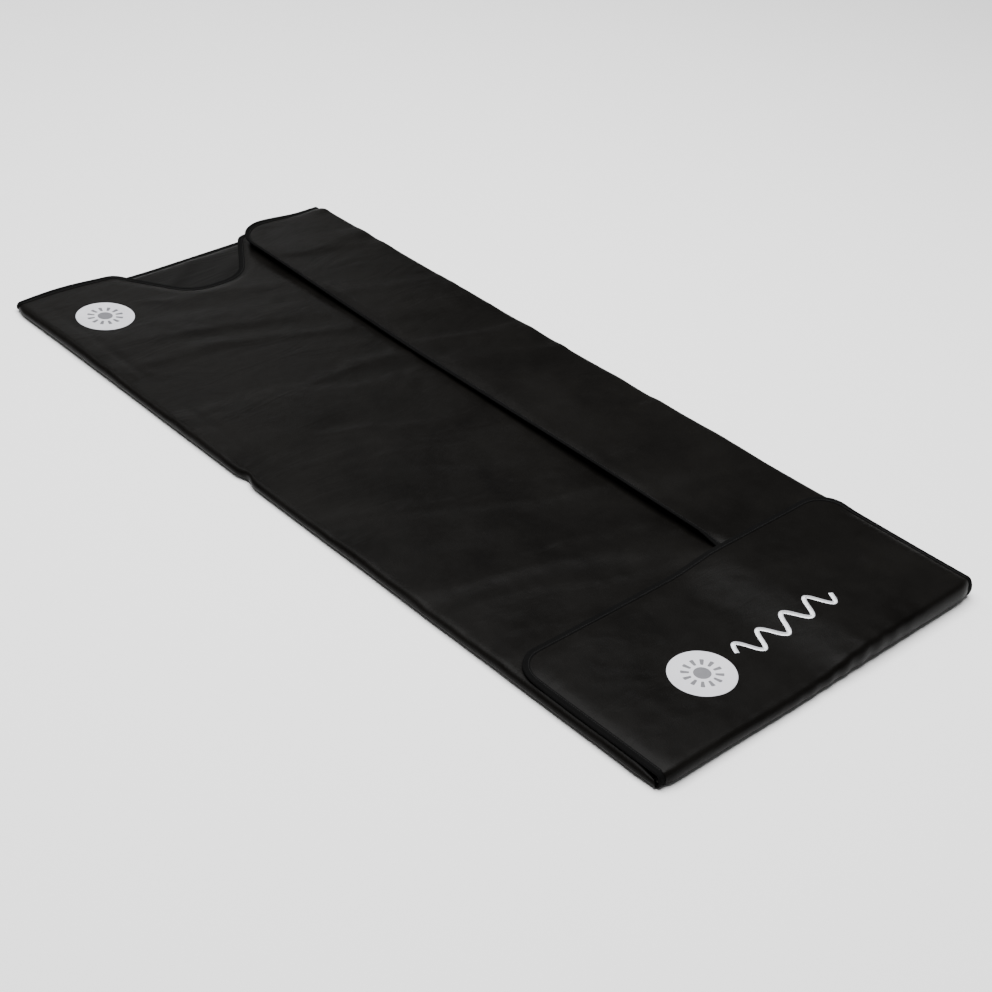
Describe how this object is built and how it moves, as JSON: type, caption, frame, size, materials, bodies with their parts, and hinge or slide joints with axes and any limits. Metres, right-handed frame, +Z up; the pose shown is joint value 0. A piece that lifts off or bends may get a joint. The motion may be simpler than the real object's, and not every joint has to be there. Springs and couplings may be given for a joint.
{
  "type": "infrared sauna blanket",
  "caption": "Padded black sauna blanket folded shut: a heated mat with two overlapping side flaps, a foot flap, a neck opening, round badges and a power socket.",
  "frame": {"origin": "on the floor under the middle of the folded blanket", "axes": "+Z up, +Y from the foot towards the head, +X towards the side of the narrow right flap"},
  "size_m": [0.766, 1.8, 0.044],
  "materials": {
    "cover_leather": "matte black polyurethane leather with a fine grain, soft satin sheen",
    "liner_leather": "smooth black waterproof polyurethane lining, satin",
    "binding_tape": "matte black woven binding tape, sewn with black thread",
    "insulation_felt": "off-white needled cotton batting",
    "heater_carrier": "aluminised non-woven heat-spreading sheet",
    "heating_wire": "dark red silicone-sleeved carbon-fibre heating wire",
    "lead_sleeve": "black silicone lead sleeve",
    "hook_tape": "black hook tape",
    "loop_tape": "black brushed loop tape",
    "badge_rubber": "light silver-grey woven and moulded badge, matte",
    "silver_thread": "silver-grey satin-stitch embroidery",
    "inlet_plastic": "black moulded plastic, fine spark-eroded texture",
    "pin_metal": "bright brass",
    "cutout_metal": "plain tinned steel"
  },
  "bodies": {
    "root": {"base_outer_cover": "cover_leather", "base_insulation": "insulation_felt", "base_heater_carrier": "heater_carrier", "base_heating_wire": "heating_wire", "base_liner": "liner_leather", "base_head_binding_left": "binding_tape", "base_head_binding_right": "binding_tape", "thermal_cutout_upper": "cutout_metal", "thermal_cutout_lower": "cutout_metal", "temperature_sensor": "inlet_plastic", "inlet_housing": "inlet_plastic", "inlet_bezel": "inlet_plastic", "inlet_pin_left": "pin_metal", "inlet_pin_centre": "pin_metal", "inlet_pin_right": "pin_metal", "base_lead_feed": "lead_sleeve", "base_lead_return": "lead_sleeve", "base_cross_lead": "lead_sleeve", "sensor_lead": "lead_sleeve"},
    "left_flap": {"left_flap_lead": "lead_sleeve", "left_flap_cover": "cover_leather", "left_flap_margin": "cover_leather", "left_fold_cover": "cover_leather", "left_flap_insulation": "insulation_felt", "left_flap_heater_carrier": "heater_carrier", "left_flap_heating_wire": "heating_wire", "left_flap_liner": "liner_leather", "left_fold_liner": "liner_leather", "left_flap_binding": "binding_tape", "left_margin_binding": "binding_tape", "left_flap_loop_tape": "loop_tape", "foot_loop_tape_left": "loop_tape", "head_badge": "badge_rubber"},
    "right_flap": {"right_flap_cover": "cover_leather", "right_flap_margin": "cover_leather", "right_fold_cover": "cover_leather", "right_flap_insulation": "insulation_felt", "right_flap_liner": "liner_leather", "right_fold_liner": "liner_leather", "right_flap_binding": "binding_tape", "right_margin_binding": "binding_tape", "right_flap_hook_tape": "hook_tape", "foot_loop_tape_right": "loop_tape"},
    "foot_flap": {"foot_flap_cover": "cover_leather", "foot_fold_cover": "cover_leather", "foot_flap_insulation": "insulation_felt", "foot_flap_liner": "liner_leather", "foot_fold_liner": "liner_leather", "foot_flap_binding": "binding_tape", "foot_hook_tape_left": "hook_tape", "foot_hook_tape_right": "hook_tape", "foot_badge": "badge_rubber", "foot_wave_embroidery": "silver_thread"}
  },
  "joints": [
    {"name": "left_flap_fold", "type": "hinge", "parent": "root", "child": "left_flap", "pos_m": [-0.367, 0, 0.0112], "axis": [0, -1, 0], "range_deg": [0, 179.8], "deforming": ["left_fold_cover", "left_fold_liner", "left_flap_lead", "left_flap_margin", "left_margin_binding", "left_flap_loop_tape", "foot_loop_tape_left"]},
    {"name": "right_flap_fold", "type": "hinge", "parent": "root", "child": "right_flap", "pos_m": [0.367, 0, 0.01715], "axis": [0, 1, 0], "range_deg": [0, 179.8], "deforming": ["right_fold_cover", "right_fold_liner", "right_flap_margin", "right_margin_binding", "foot_loop_tape_right"]},
    {"name": "foot_flap_fold", "type": "hinge", "parent": "root", "child": "foot_flap", "pos_m": [0, -0.884, 0.02145], "axis": [1, 0, 0], "range_deg": [0, 179.8], "deforming": ["foot_fold_cover", "foot_fold_liner"]}
  ]
}
